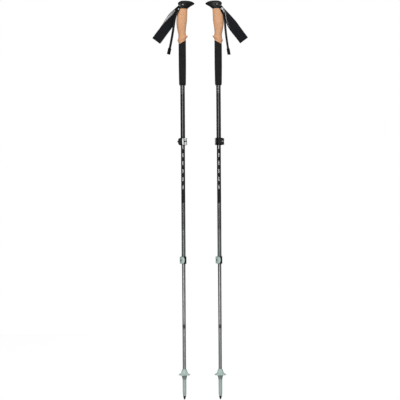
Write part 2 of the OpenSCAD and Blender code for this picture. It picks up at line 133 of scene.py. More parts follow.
def shade_smooth(obj, angle=None):
    for poly in obj.data.polygons:
        poly.use_smooth = True
    if angle is not None:
        obj.data.set_sharp_from_angle(angle=math.radians(angle))


@contextmanager
def edited(obj):
    """Opens a closed mesh for changes, and turns its faces outwards at the end."""
    work = bmesh.new()
    work.from_mesh(obj.data)
    yield work
    bmesh.ops.recalc_face_normals(work, faces=work.faces)
    work.to_mesh(obj.data)
    work.free()


def outward(obj):
    """Turns every face of a closed mesh outwards."""
    with edited(obj):
        pass
    return obj


def circle(radius, sides, z):
    """Points round a circle at one height."""
    angles = [2 * math.pi * k / sides for k in range(sides)]
    return [(radius * math.cos(a), radius * math.sin(a), z) for a in angles]


def rings_to_faces(count, n, caps=True):
    """The faces between rings of n points each, with the two ends closed if caps is true."""
    faces = []
    for i in range(count - 1):
        a, b = i * n, (i + 1) * n
        for j in range(n):
            k = (j + 1) % n
            faces.append((a + j, a + k, b + k, b + j))
    if caps:
        faces.append(tuple(range(n - 1, -1, -1)))
        faces.append(tuple((count - 1) * n + j for j in range(n)))
    return faces


def lathe(name, profile, segments=96, reshape=None):
    """A turned piece from a closed outline of (radius, height) points; reshape may move each point."""
    verts = []
    for k in range(segments):
        a = 2 * math.pi * k / segments
        for r, z in profile:
            if reshape:
                r, z = reshape(r, z, a)
            verts.append((r * math.cos(a), r * math.sin(a), z))
    n = len(profile)
    faces = []
    for k in range(segments):
        m = (k + 1) % segments
        for j in range(n):
            i = (j + 1) % n
            faces.append((k * n + j, m * n + j, m * n + i, k * n + i))
    return outward(mesh_object(name, verts, faces))


def rounded(outline, radius, steps=3):
    """A closed outline with each corner rounded by up to radius."""
    out = []
    n = len(outline)
    for i, p in enumerate(outline):
        a, b = Vector(outline[i - 1]), Vector(outline[(i + 1) % n])
        p = Vector(p)
        to_a, to_b = a - p, b - p
        cut = min(radius, to_a.length * 0.45, to_b.length * 0.45)
        s, e = p + to_a.normalized() * cut, p + to_b.normalized() * cut
        for k in range(steps + 1):
            t = k / steps
            out.append(tuple((1 - t) ** 2 * s + 2 * t * (1 - t) * p + t * t * e))
    return out


def apply_modifiers(obj):
    depsgraph = bpy.context.evaluated_depsgraph_get()
    mesh = bpy.data.meshes.new_from_object(obj.evaluated_get(depsgraph))
    obj.modifiers.clear()
    obj.data = mesh
    return obj


def boolean(obj, other, operation):
    """Joins another object to this one or cuts it out, and uses it up."""
    mod = obj.modifiers.new("cut", "BOOLEAN")
    mod.operation = operation
    mod.solver = "EXACT"
    mod.object = other
    apply_modifiers(obj)
    bpy.data.objects.remove(other)
    return obj


def rod(radius, low, high, sides=64):
    """A cylinder round the z axis."""
    verts = circle(radius, sides, low) + circle(radius, sides, high)
    return outward(mesh_object("rod", verts, rings_to_faces(2, sides)))


def cube(low, high):
    """A box from one corner to the other."""
    (x0, y0, z0), (x1, y1, z1) = low, high
    verts = [(x, y, z) for x in (x0, x1) for y in (y0, y1) for z in (z0, z1)]
    faces = [(0, 1, 3, 2), (4, 6, 7, 5), (0, 4, 5, 1), (2, 3, 7, 6), (0, 2, 6, 4), (1, 5, 7, 3)]
    return outward(mesh_object("cutter", verts, faces))


def slice_off(obj, point, normal, keep_front=False, hollow=False):
    """Cuts a closed mesh by a plane and closes the cut, as a ring if the mesh is hollow there."""
    with edited(obj) as work:
        cut = bmesh.ops.bisect_plane(
            work,
            geom=work.verts[:] + work.edges[:] + work.faces[:],
            plane_co=Vector(point) * MM,
            plane_no=Vector(normal),
            clear_outer=not keep_front,
            clear_inner=keep_front,
        )
        edges = [e for e in cut["geom_cut"] if isinstance(e, bmesh.types.BMEdge)]
        if hollow:
            bmesh.ops.bridge_loops(work, edges=edges)
        else:
            bmesh.ops.edgeloop_fill(work, edges=edges)
    return obj


def piece(obj, side, part, body, material, mirrored=False, replaces=True):
    """Finishes a piece that was built round the z axis: its pole, its material, its body
    and the CAD node that it stands for. A mirrored piece is built for the left pole."""
    if mirrored and side == "right":
        for v in obj.data.vertices:
            v.co.x = -v.co.x
        obj.data.flip_normals()
    obj.location.x = axis_x(side)
    obj.name = f"{side}_{part}_look"
    obj.data.materials.clear()
    obj.data.materials.append(material)
    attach(obj, f"{side}_{body}")
    if replaces:
        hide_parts(f"{side}_{part}")
    return obj


# ---------------- material nodes


def srgb(r, g, b):
    """A linear colour from a 0 to 255 sRGB one."""
    return tuple(
        (c / 255 / 12.92 if c <= 10.3 else ((c / 255 + 0.055) / 1.055) ** 2.4)
        for c in (r, g, b)
    ) + (1.0,)


class Graph:
    """A material's node tree, written as nested calls."""

    def __init__(self, name, roughness, **inputs):
        self.material = bpy.data.materials.new(name)
        self.material.use_nodes = True
        self.tree = self.material.node_tree
        self.shader = self.tree.nodes["Principled BSDF"]
        self.set(self.shader, "Roughness", roughness)
        for key, value in inputs.items():
            self.set(self.shader, key.replace("_", " "), value)
        self.coords = self.node("ShaderNodeTexCoord")

    def node(self, kind, **props):
        made = self.tree.nodes.new(kind)
        for key, value in props.items():
            setattr(made, key, value)
        return made

    def set(self, node, socket, value):
        target = node.inputs[socket]
        if isinstance(value, bpy.types.NodeSocket):
            self.tree.links.new(value, target)
        else:
            target.default_value = value

    def filled(self, kind, inputs, **props):
        """A new node with a value or a link in each of these inputs."""
        made = self.node(kind, **props)
        for key, value in inputs.items():
            self.set(made, key, value)
        return made

    def math(self, operation, a, b=0.0, c=0.0, clamp=False):
        props = {"operation": operation, "use_clamp": clamp}
        return self.filled("ShaderNodeMath", {0: a, 1: b, 2: c}, **props).outputs[0]

    def mix(self, factor, a, b):
        inputs = {"Factor": factor, 6: a, 7: b}
        return self.filled("ShaderNodeMix", inputs, data_type="RGBA").outputs[2]

    def place(self):
        return self.coords.outputs["Object"]

    def axes(self, source="Object"):
        """The three numbers of a place on the object, or of its UV coordinates."""
        return self.filled("ShaderNodeSeparateXYZ", {0: self.coords.outputs[source]}).outputs

    def channels(self, color):
        return self.filled("ShaderNodeSeparateColor", {0: color}).outputs

    def stretch(self, scale):
        inputs = {"Vector": self.place(), "Scale": scale}
        return self.filled("ShaderNodeMapping", inputs).outputs[0]

    def noise(self, scale, detail=2.0, vector=None, rough=0.5):
        vector = self.place() if vector is None else vector
        inputs = {"Vector": vector, "Scale": scale, "Detail": detail, "Roughness": rough}
        return self.filled("ShaderNodeTexNoise", inputs).outputs["Fac"]

    def cells(self, scale, vector=None, feature="F1"):
        vector = self.place() if vector is None else vector
        inputs = {"Vector": vector, "Scale": scale}
        return self.filled("ShaderNodeTexVoronoi", inputs, feature=feature)

    def ramp(self, value, low, high, to_low=0.0, to_high=1.0, **props):
        inputs = {"Value": value, "From Min": low, "From Max": high}
        inputs.update({"To Min": to_low, "To Max": to_high})
        return self.filled("ShaderNodeMapRange", inputs, **props).outputs[0]

    def band(self, value, low, high, soft):
        """1 where value is from low to high, 0 elsewhere, with soft edges."""
        rise = self.ramp(value, low - soft, low + soft, interpolation_type="SMOOTHSTEP")
        fall = self.ramp(value, high + soft, high - soft, interpolation_type="SMOOTHSTEP")
        return self.math("MULTIPLY", rise, fall)

    def bump(self, height, distance, strength, below=None):
        inputs = {"Height": height, "Distance": distance, "Strength": strength}
        if below is not None:
            inputs["Normal"] = below
        return self.filled("ShaderNodeBump", inputs).outputs[0]

    def done(self, color, normal=None, roughness=None):
        self.set(self.shader, "Base Color", color)
        if roughness is not None:
            self.set(self.shader, "Roughness", roughness)
        if normal is not None:
            self.set(self.shader, "Normal", normal)
        return self.material


def moulded(name, dark, light, roughness, grain=2600, depth=0.00004, detail=None, **extra):
    """Moulded plastic or rubber: a fine spark-eroded texture, faint mottling and handling marks.
    detail may change the finished colour for one piece."""
    g = Graph(name, roughness, **extra)
    mottle = g.noise(60, 3)
    scuffs = g.noise(1.0, 5, g.stretch((260, 90, 900)), 0.7)
    color = g.mix(g.ramp(mottle, 0.35, 0.65), dark, light)
    color = g.mix(g.math("MULTIPLY", g.ramp(scuffs, 0.64, 0.8), 0.25, clamp=True), color, light)
    rough = g.ramp(scuffs, 0.3, 0.75, roughness - 0.06, roughness + 0.1)
    height = g.noise(grain, 2)
    if detail:
        color = detail(g, color)
    return g.done(color, g.bump(height, depth, 0.6), rough)


def painted_catch_shade(g, color):
    """Painted shade of a finger catch: a small dark oval on the front of each lower lever, a fifth of
    the way across it.
    """
    half_width, half_height = 0.0034, 0.0026
    x, y, z = g.axes()
    aways = []
    for side in SIDES:
        low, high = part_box(f"{side}_lower_lock_lever")
        middle = low.x + (high.x - low.x) * 0.2
        aways.append(g.math("ABSOLUTE", g.math("SUBTRACT", x, middle)))
    low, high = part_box("left_lower_lock_lever")
    across = g.math("MULTIPLY", g.math("MINIMUM", aways[0], aways[1]), 1 / half_width)
    up = g.math("MULTIPLY", g.math("SUBTRACT", z, (low.z + high.z) / 2), 1 / half_height)
    reach = g.math("ADD", g.math("POWER", across, 2), g.math("POWER", g.math("ABSOLUTE", up), 2))
    front = g.math("LESS_THAN", y, 0.0)
    mask = g.math("MULTIPLY", g.ramp(reach, 1.0, 0.75), front, clamp=True)
    # the lever's mint darkened to about a third: painted shade
    return g.mix(mask, color, srgb(52, 58, 56))


def painted_shade_under(z_low, z_high, shade):
    """Painted shade below the basket's rim, from one height up to another,
    with uneven edges."""
    ragged = 0.004

    def detail(g, color):
        z = g.math("MULTIPLY_ADD", g.noise(300, 3), ragged, g.axes()[2])
        mask = g.band(z, z_low * MM + ragged / 2, z_high * MM + ragged / 2, 0.0025)
        return g.mix(g.math("MULTIPLY", mask, 0.9), color, shade)

    return detail


def steel(name, tint, roughness):
    """Turned steel, with fine marks round the piece."""
    g = Graph(name, roughness, Metallic=1.0)
    marks = g.noise(1.0, 3, g.stretch((900, 900, 5200)))
    patina = g.noise(240, 3)
    color = g.mix(g.ramp(patina, 0.35, 0.7), tint, tuple(c * 0.72 for c in tint[:3]) + (1,))
    return g.done(
        color,
        g.bump(marks, 0.00003, 0.5),
        g.ramp(marks, 0.3, 0.7, roughness - 0.08, roughness + 0.12),
    )


def cork_material():
    """Pressed natural cork: granules about 2 mm across, with dark flecks and small pits."""
    g = Graph("cork", 0.72, Specular_IOR_Level=0.3)
    granule_scale, bend = 430, 0.004
    wobble = g.noise(160, 2)
    spread = g.filled("ShaderNodeCombineXYZ", {0: wobble, 1: wobble, 2: wobble}).outputs[0]
    inputs = {0: spread, 1: (bend, bend, bend), 2: g.place()}
    bent = g.filled("ShaderNodeVectorMath", inputs, operation="MULTIPLY_ADD").outputs[0]
    granules = g.cells(granule_scale, bent)
    small = g.cells(1150, bent)
    seams = g.cells(granule_scale, bent, "DISTANCE_TO_EDGE")
    to_seam = seams.outputs["Distance"]
    shade = g.channels(granules.outputs["Color"])
    fine = g.channels(small.outputs["Color"])
    tan = g.mix(shade[0], srgb(219, 170, 130), srgb(201, 147, 106))
    tan = g.mix(g.math("MULTIPLY", fine[1], 0.35), tan, srgb(227, 184, 147))
    patches = g.noise(28, 3)
    tan = g.mix(g.ramp(patches, 0.35, 0.7, 0.0, 0.45), tan, srgb(209, 153, 114))
    chosen = g.math("GREATER_THAN", shade[2], 0.93)
    flecks = g.math("MULTIPLY", chosen, g.ramp(g.noise(700, 3), 0.5, 0.62), clamp=True)
    tan = g.mix(g.math("MULTIPLY", flecks, 0.75), tan, srgb(120, 74, 44))
    edge = g.ramp(to_seam, 0.0, 0.00016, 0.3, 0.0)
    tan = g.mix(edge, tan, srgb(168, 116, 76))
    grit = g.math("MULTIPLY", g.noise(1800, 3), 0.5)
    height = g.math("ADD", g.ramp(to_seam, 0, 0.0003), grit)
    height = g.math("SUBTRACT", height, flecks)
    return g.done(tan, g.bump(height, 0.00012, 0.55), g.ramp(patches, 0.3, 0.7, 0.62, 0.8))


def foam_material():
    """Closed-cell foam: soft and matt, with a skin of tiny pores."""
    g = Graph("foam", 0.88, Specular_IOR_Level=0.15)
    g.set(g.shader, "Sheen Weight", 0.05)
    pores = g.cells(2100)
    soft = g.noise(90, 3)
    color = g.mix(g.ramp(soft, 0.3, 0.7), srgb(25, 25, 26), srgb(34, 34, 35))
    to_pore = pores.outputs["Distance"]
    color = g.mix(g.ramp(to_pore, 0.0, 0.00012, 0.6, 0.0), color, srgb(12, 12, 13))
    height = g.math("ADD", g.ramp(to_pore, 0, 0.0002), g.math("MULTIPLY", soft, 0.7))
    return g.done(color, g.bump(height, 0.00009, 0.6))


def shaft_coords(g):
    """A shaft's height in metres, and the way round it in radians, with the front at zero."""
    x, y, z = g.axes()
    turn = g.math("ARCTAN2", x, g.math("MULTIPLY", y, -1.0))
    return z, turn


LINE_TONE = 0.15


def lattice(g, z, turn, around, pitch, line):
    """A net of crossing lines, with this many lozenges round the shaft, each pitch metres high:
    1 where two lines cross, and LINE_TONE on the rest of a line."""
    across = g.math("MULTIPLY_ADD", turn, around / (2 * math.pi), 0.25)
    up = g.math("MULTIPLY", z, 1 / pitch)
    lines = []
    for sign in (1.0, -1.0):
        phase = g.math("MULTIPLY_ADD", across, sign, up)
        away = g.math("ABSOLUTE", g.math("SUBTRACT", g.math("FRACT", phase), 0.5))
        lines.append(g.band(away, -1, line / 2, 0.02))
    either = g.math("MAXIMUM", lines[0], lines[1])
    crossing = g.math("MULTIPLY", lines[0], lines[1])
    both = g.math("MULTIPLY", crossing, 1 - LINE_TONE)
    return g.math("MULTIPLY_ADD", either, LINE_TONE, both)


def drawn_lines(g):
    """Fine drawing lines along a tube."""
    return g.noise(1.0, 3, g.stretch((3200, 3200, 12)))


def anodised(g, color, lines, smoothest, roughest):
    rough = g.ramp(lines, 0.3, 0.7, smoothest, roughest)
    return g.done(color, g.bump(lines, 0.00002, 0.4), rough)


def upper_shaft_material():
    """Dark grey, with a band of net below the foam."""
    g = Graph("upper_anodised", 0.3, Metallic=1.0)
    z, turn = shaft_coords(g)
    lines = drawn_lines(g)
    base = g.mix(g.ramp(lines, 0.3, 0.7), srgb(58, 59, 60), srgb(70, 71, 72))
    top, band_height = FOAM_Z * MM, 0.027
    net = lattice(g, z, turn, 8, 0.0085, 0.3)
    zone = g.band(z, top - band_height, top, 0.0005)
    color = g.mix(g.math("MULTIPLY", net, zone), base, srgb(158, 159, 160))
    return anodised(g, color, lines, 0.24, 0.34)


def middle_shaft_material():
    """Nearly black, with a scale at the top and a net that turns pale towards the lower lock."""
    g = Graph("middle_anodised", 0.3, Metallic=1.0)
    z, turn = shaft_coords(g)
    lines = drawn_lines(g)
    base = g.mix(g.ramp(lines, 0.3, 0.7), srgb(28, 29, 30), srgb(38, 39, 40))
    lower = span("left_lower_lock_collar")[1].z * MM
    upper = span("left_upper_lock_collar")[0].z * MM
    net_top, pale_top = lower + 0.188, lower + 0.096
    net = lattice(g, z, turn, 4, 0.0086, 0.5)
    zone = g.band(z, pale_top, net_top, 0.0008)
    color = g.mix(g.math("MULTIPLY", net, zone), base, srgb(140, 141, 142))
    fade = g.ramp(z, lower, pale_top)
    grey = g.mix(fade, srgb(98, 106, 104), srgb(90, 91, 92))
    pale = g.mix(fade, srgb(146, 153, 151), srgb(142, 143, 144))
    pale_zone = g.band(z, lower - 0.02, pale_top, 0.0008)
    color = g.mix(pale_zone, color, g.mix(net, grey, pale))
    # the scale: six plain grey bars on the front, one every step
    step, first, half_turn = 0.0281, upper - 0.0065, 0.28
    marks = g.math("MULTIPLY", g.math("SUBTRACT", first, z), 1 / step)
    part = g.math("FRACT", g.math("ADD", marks, 0.5))
    zone = g.band(z, first - 5.4 * step, first + 0.4 * step, 0.0002)
    high = g.band(part, 0.26, 0.74, 0.004)
    wide = g.band(turn, -half_turn, half_turn, 0.01)
    bar = g.math("MULTIPLY", high, wide)
    color = g.mix(g.math("MULTIPLY", bar, zone), color, srgb(124, 125, 124))
    return anodised(g, color, lines, 0.32, 0.42)


def lower_shaft_material():
    """Silver grey, paler towards the tip, with one dark ring that has a net in it."""
    g = Graph("lower_anodised", 0.3, Metallic=1.0)
    z, turn = shaft_coords(g)
    lines = drawn_lines(g)
    bottom = BASKET_TOP_Z * MM
    top = span("left_lower_lock_collar")[0].z * MM
    dark = g.mix(g.ramp(lines, 0.3, 0.7), srgb(104, 106, 106), srgb(122, 124, 124))
    pale = g.mix(g.ramp(lines, 0.3, 0.7), srgb(160, 163, 162), srgb(180, 182, 181))
    color = g.mix(g.ramp(z, bottom, top), pale, dark)
    ring_low, ring_high = bottom + 0.143, bottom + 0.157
    ring = g.band(z, ring_low, ring_high, 0.0006)
    ring_net = lattice(g, z, turn, 11, 0.0048, 0.5)
    mask = g.math("MULTIPLY", ring, g.math("MULTIPLY_ADD", ring_net, -0.45, 1.0))
    color = g.mix(mask, color, srgb(58, 60, 60))
    return anodised(g, color, lines, 0.28, 0.4)


def webbing_material():
    """Woven nylon webbing: a zigzag twill of small ribs. UV coordinates are metres."""
    g = Graph("webbing", 0.78, Specular_IOR_Level=0.12)
    g.set(g.shader, "Sheen Weight", 0.08)
    g.set(g.shader, "Sheen Roughness", 0.4)
    warp_pitch, weft_pitch, zigzag_width = 0.0011, 0.0013, 0.0055
    along, across, _ = g.axes("UV")
    warp = g.math("SINE", g.math("MULTIPLY", across, 2 * math.pi / warp_pitch))
    slanted = g.math("ADD", along, g.math("PINGPONG", across, zigzag_width))
    weft = g.math("SINE", g.math("MULTIPLY", slanted, 2 * math.pi / weft_pitch))
    height = g.math("MULTIPLY_ADD", g.math("MULTIPLY", warp, weft), 0.5, g.math("MULTIPLY", weft, 0.35))
    fuzz = g.noise(3800, 3)
    color = g.mix(g.ramp(height, -0.6, 0.6), srgb(10, 11, 13), srgb(26, 27, 32))
    color = g.mix(g.math("MULTIPLY", fuzz, 0.25), color, srgb(40, 42, 48))
    bump = g.bump(height, 0.00022, 0.75)
    return g.done(color, g.bump(fuzz, 0.00005, 0.5, bump))


def liner_material():
    """A brushed knit over thin padding. UV coordinates are metres."""
    g = Graph("liner", 0.95, Specular_IOR_Level=0.15)
    g.set(g.shader, "Sheen Weight", 0.35)
    knit_pitch = 0.0016
    along, across, _ = g.axes("UV")
    waves = [
        g.math("SINE", g.math("MULTIPLY", way, 2 * math.pi / knit_pitch))
        for way in (along, across)
    ]
    loops = g.math("MULTIPLY", waves[0], waves[1])
    fuzz = g.noise(2600, 4)
    color = g.mix(g.ramp(loops, -0.8, 0.8), srgb(176, 177, 178), srgb(206, 207, 208))
    color = g.mix(g.math("MULTIPLY", fuzz, 0.4), color, srgb(222, 222, 222))
    bump = g.bump(loops, 0.0002, 0.6)
    return g.done(color, g.bump(fuzz, 0.0001, 0.5, bump))


def thread_material():
    g = Graph("thread", 0.7, Specular_IOR_Level=0.3)
    twist = g.noise(1.0, 2, g.stretch((5200, 5200, 5200)))
    color = g.mix(twist, srgb(44, 45, 50), srgb(74, 76, 82))
    return g.done(color, g.bump(twist, 0.00005, 0.6))


BLACK_RUBBER = (srgb(10, 10, 11), srgb(19, 19, 20))
RUBBER = moulded("head_rubber", *BLACK_RUBBER, 0.36, 1900, Specular_IOR_Level=0.16)
CAP_RUBBER = moulded("cap_rubber", *BLACK_RUBBER, 0.3, 2400, 0.00002, Specular_IOR_Level=0.2)
BLACK_PLASTIC = moulded(
    "black_plastic", srgb(8, 8, 9), srgb(16, 16, 17), 0.42, Specular_IOR_Level=0.1
)
NYLON = moulded("nylon", srgb(60, 60, 61), srgb(76, 76, 77), 0.55)
# the lower levers, with painted shade of a finger catch
MINT_LEVER = moulded(
    "mint_lever", srgb(160, 179, 172), srgb(170, 189, 182), 0.38, detail=painted_catch_shade
)
MINT_BASKET = moulded(
    "mint_basket",
    srgb(169, 188, 181),
    srgb(180, 199, 193),
    0.5,
    # painted shade on the basket's underside, from 60 to 84 mm up
    detail=painted_shade_under(60, 84, srgb(116, 135, 128)),
)
MINT_PLASTIC = moulded(
    "mint_plastic",
    srgb(162, 180, 174),
    srgb(172, 190, 184),
    0.5,
    # painted shade on the ferrule below the basket, from 70 to 90 mm up
    detail=painted_shade_under(70, 90, srgb(114, 133, 126)),
)
SILVER = moulded(
    "silver_lever", srgb(168, 170, 170), srgb(188, 189, 189), 0.38, 5200, 0.00001, Metallic=0.35
)
RIVET_STEEL = steel("rivet_steel", (0.11, 0.11, 0.113, 1), 0.34)
DARK_STEEL = steel("dark_steel", (0.07, 0.07, 0.073, 1), 0.35)
CARBIDE = steel("carbide", (0.035, 0.035, 0.037, 1), 0.42)
CORK = cork_material()
FOAM = foam_material()
UPPER_SHAFT = upper_shaft_material()
MIDDLE_SHAFT = middle_shaft_material()
LOWER_SHAFT = lower_shaft_material()
WEBBING = webbing_material()
LINER = liner_material()
THREAD = thread_material()


# ---------------- grip

LOFT_SIDES = 120
# how much the edge between the cork and the foam rises from back to front
BOUNDARY_SLOPE = 0.55
# the head's sleeve inside the cork, and the bore round the upper tube
SLEEVE_R = 9.5
SLEEVE_BOTTOM_Z = CORK_Z - 13.8
BORE_R = 8.05

# each row: height, back, front, half width, front narrowing, slope, squareness of the back
CORK_ROWS = [
    (0, -12.8, 12.8, 12.8, 0, BOUNDARY_SLOPE, 1),
    (6, -13.4, 13.6, 13.4, 0, 0.50, 1),
    (14, -16.6, 19.8, 15.6, 0.05, 0.42, 1),
    (20, -14.0, 14.6, 13.9, 0, 0.34, 1),
    (31, -13.6, 12.6, 13.1, 0, 0.20, 1),
    (44, -16.6, 13.2, 14.0, 0, 0.06, 1),
    (59, -19.3, 14.9, 14.9, 0, 0, 1),
    (75, -19.8, 17.1, 15.2, 0, 0, 1),
    (92, -18.6, 18.2, 14.9, 0, 0, 1),
    (107, -15.0, 18.6, 14.2, 0, 0, 0.9),
    (118, -12.6, 19.2, 13.6, 0.03, 0, 0.8),
]
HEAD_ROWS = [
    (0.1, -12.6, 19.6, 13.6, 0.03, 0, 0.8),
    (3, -12.9, 23.0, 13.8, 0.12, 0, 0.62),
    (7.5, -13.4, 28.6, 14.1, 0.26, 0, 0.5),
    (12, -13.8, 36.6, 14.4, 0.42, 0, 0.48),
    (15.5, -14.0, 42.6, 14.5, 0.50, 0, 0.48),
    (17.0, -14.1, 43.4, 14.5, 0.52, 0, 0.48),
    (17.4, -13.5, 42.7, 14.0, 0.52, 0, 0.48),
]
CAP_ROWS = [
    (-0.15, -12.6, 40.4, 13.0, 0.52, 0, 0.48),
    (0.15, -13.4, 42.8, 13.9, 0.52, 0, 0.48),
    (0.6, -14.1, 43.6, 14.5, 0.52, 0, 0.48),
    (2.5, -14.2, 43.2, 14.5, 0.52, 0, 0.48),
    (5.5, -12.4, 39.6, 13.6, 0.48, 0, 0.55),
    (8.5, -8.4, 33.5, 11.6, 0.42, 0, 0.65),
    (10.6, -4.0, 26.5, 8.4, 0.34, 0, 0.8),
    (11.5, 2.5, 18.5, 3.6, 0.20, 0, 1),
]


def loft_ring(row):
    """One row's outline: an oval that is wider at the back and may be squared off there."""
    height, back, front, half_y, narrow, slope, square = row
    mid, half = (back + front) / 2, (front - back) / 2
    ring = []
    for i in range(LOFT_SIDES):
        t = 2 * math.pi * i / LOFT_SIDES
        c, s = math.cos(t), math.sin(t)
        power = square if c < 0 else 1
        x = mid + half * bulge(c, power)
        y = half_y * bulge(s, power) * (1 - narrow * (1 + c) / 2)
        ring.append((x, y, height + slope * x))
    return ring


def loft(name, rows, base, steps):
    """A closed piece through the rows' outlines, counted up from the base height."""
    rings = [loft_ring((row[0] + base,) + tuple(row[1:])) for row in spline(rows, steps)]
    verts = [v for ring in rings for v in ring]
    n = LOFT_SIDES
    faces = rings_to_faces(len(rings), n, caps=False)
    # each end closes over shrinking rings, so that it shades smoothly
    for ring, first in ((rings[0], 0), (rings[-1], (len(rings) - 1) * n)):
        centre = Vector([sum(v[k] for v in ring) / n for k in range(3)])
        last = first
        for share in (0.66, 0.33):
            start = len(verts)
            verts += [tuple(centre.lerp(Vector(v), share)) for v in ring]
            faces += [
                (last + j, last + (j + 1) % n, start + (j + 1) % n, start + j)
                for j in range(n)
            ]
            last = start
        verts.append(tuple(centre))
        tip = len(verts) - 1
        faces += [(last + j, last + (j + 1) % n, tip) for j in range(n)]
    return outward(mesh_object(name, verts, faces))


# the head's skirt covers the cork's upper back, down to this plane
SKIRT_POINT = (-5, 0, HEAD_Z)
SKIRT_TILT = math.radians(63.5)
SKIRT_NORMAL = (-math.sin(SKIRT_TILT), 0, math.cos(SKIRT_TILT))
# the strap's room in the head: a pocket round the pin, and its mouth at the back
STRAP_POCKET = ((-28, -9.5, PIN_Z - 5.2), (-2.5, 9.5, PIN_Z + 4.7))
STRAP_MOUTH = ((-28, -9.5, HEAD_Z - 3), (-10.2, 9.5, HEAD_Z + 9))


def ease_edges(obj, width, segments, angle):
    """A bevel along the sharp edges, with its width in millimetres."""
    bevel = obj.modifiers.new("edges", "BEVEL")
    bevel.width = width * MM
    bevel.segments = segments
    bevel.limit_method = "ANGLE"
    bevel.angle_limit = math.radians(angle)


def make_cork(side):
    obj = loft("cork", CORK_ROWS, CORK_Z, 14)
    slice_off(obj, SKIRT_POINT, SKIRT_NORMAL)
    boolean(obj, rod(SLEEVE_R + 0.05, CORK_Z - 20, HEAD_Z + 20), "DIFFERENCE")
    shade_smooth(obj, 40)
    return piece(obj, side, "cork_grip", "upper", CORK, True)


def make_head(side):
    obj = loft("head", HEAD_ROWS, HEAD_Z, 6)
    skirt = loft("skirt", CORK_ROWS, CORK_Z, 14)
    slice_off(skirt, (SKIRT_POINT[0] - 0.2, 0, HEAD_Z + 0.2), SKIRT_NORMAL, keep_front=True)
    boolean(obj, skirt, "UNION")
    boolean(obj, rod(SLEEVE_R, SLEEVE_BOTTOM_Z, HEAD_Z + 1), "UNION")
    boolean(obj, cube(*STRAP_POCKET), "DIFFERENCE")
    boolean(obj, cube(*STRAP_MOUTH), "DIFFERENCE")
    boolean(obj, rod(BORE_R, SLEEVE_BOTTOM_Z - 1.2, SHAFT_TOP_Z + 0.2), "DIFFERENCE")
    ease_edges(obj, 0.4, 2, 50)
    apply_modifiers(obj)
    shade_smooth(obj, 35)
    return piece(obj, side, "grip_head", "upper", RUBBER, True)


def make_cap(side):
    obj = loft("cap", CAP_ROWS, CAP_Z, 8)
    return piece(obj, side, "top_cap", "upper", CAP_RUBBER, True)


def make_foam(side):
    """A turned sleeve, made too tall, then cut along the slanted edge of the cork."""
    top = CORK_Z + 20
    sleeve_room = CORK_Z - 14
    grip_r = 13.0
    outline = [
        (BORE_R, FOAM_Z + 0.8), (BORE_R + 2.2, FOAM_Z), (grip_r - 2.2, FOAM_Z + 1.0),
        (grip_r - 1.1, FOAM_Z + 4.5), (grip_r - 0.8, FOAM_Z + 11),
        (grip_r, FOAM_Z + 70), (grip_r, top), (SLEEVE_R, top), (SLEEVE_R, sleeve_room),
        (BORE_R, sleeve_room),
    ]
    # steps of about 4 mm, so that the rounding stays local and the faces are short
    stepped = []
    for i, p in enumerate(outline):
        q = outline[(i + 1) % len(outline)]
        parts = int(abs(q[1] - p[1]) / 4) + 1
        for k in range(parts):
            stepped.append((p[0] + (q[0] - p[0]) * k / parts, p[1] + (q[1] - p[1]) * k / parts))
    obj = lathe("foam", rounded(stepped, 1.2))
    tilt = math.atan(BOUNDARY_SLOPE)
    slant = (-math.sin(tilt), 0, math.cos(tilt))
    slice_off(obj, (0, 0, CORK_Z - 0.1), slant, hollow=True)
    shade_smooth(obj, 50)
    return piece(obj, side, "foam_grip", "upper", FOAM, True)


# ---------------- wrist strap

WEB_T, LINER_T = 1.5, 1.4
# half the space between the loop's two legs: round the pin, at the neck, near the far end
# and at the fold; OPEN_GAP is the one between the neck and the far end
ROOT_R, NECK_GAP, END_GAP, TURN_R = 3.1, 1.2, 6.2, 5.0
OPEN_GAP = {"left": 6.5, "right": 3.0}
STRAP_W, NECK_W, TAIL_W = 34.0, 17.0, 15.0
# where the left strap's middle line and its tail run, forward and up from the pin
ROUTE = [
    (0, 0), (-8, -5.5), (-15.5, -16), (-22, -28), (-28.5, -41.5), (-37, -58),
    (-49, -77), (-65, -98.5), (-80, -118.5),
]
TAIL_ROUTE = [
    (-3.6, -6.4), (-5.4, -10), (-8.3, -17), (-12.1, -28), (-16, -43), (-18.6, -62),
    (-20.8, -84), (-24.4, -110), (-29, -138), (-32, -154),
]
# steps of the strap between two points of its route, and of the tail
STRAP_STEPS, TAIL_STEPS = 16, 9
# which way the flat of each strap turns as it leaves the head
LAY = {"left": 1, "right": -1}
# how far the outer leg bows out
BOW = 1.0
# the liner starts this far along the legs, and is narrower than the webbing by LINER_TRIM
LINER_START = 0.25
LINER_TRIM = {"left": 0.8, "right": 6.0}
# the tail's turn, its lean from the route in degrees, and its shift and tuck in millimetres
TAIL_TURN, TAIL_LEAN = 28, 1.7
TAIL_ASIDE = {"left": -3.8, "right": 0.0}
TAIL_TUCK = {"left": 0.6, "right": 0.0}


def slope_at(line, i):
    """The direction of a flat line at its point i."""
    a, b = line[max(i - 1, 0)], line[min(i + 1, len(line) - 1)]
    return Vector((b[0] - a[0], b[1] - a[1])).normalized()


def strip_frame(t, turn, lay):
    """The outward and the crosswise direction of a strip that runs along t, turned on itself."""
    c, s = math.cos(turn), math.sin(turn)
    out = Vector((lay * c * t[1], s, -lay * c * t[0]))
    across = Vector((-lay * s * t[1], c, lay * s * t[0]))
    return out, across


def steps_of(line):
    """Pairs of neighbouring stations, with the distance between them in millimetres."""
    return [(a, b, (b[0] - a[0]).length) for a, b in zip(line, line[1:])]


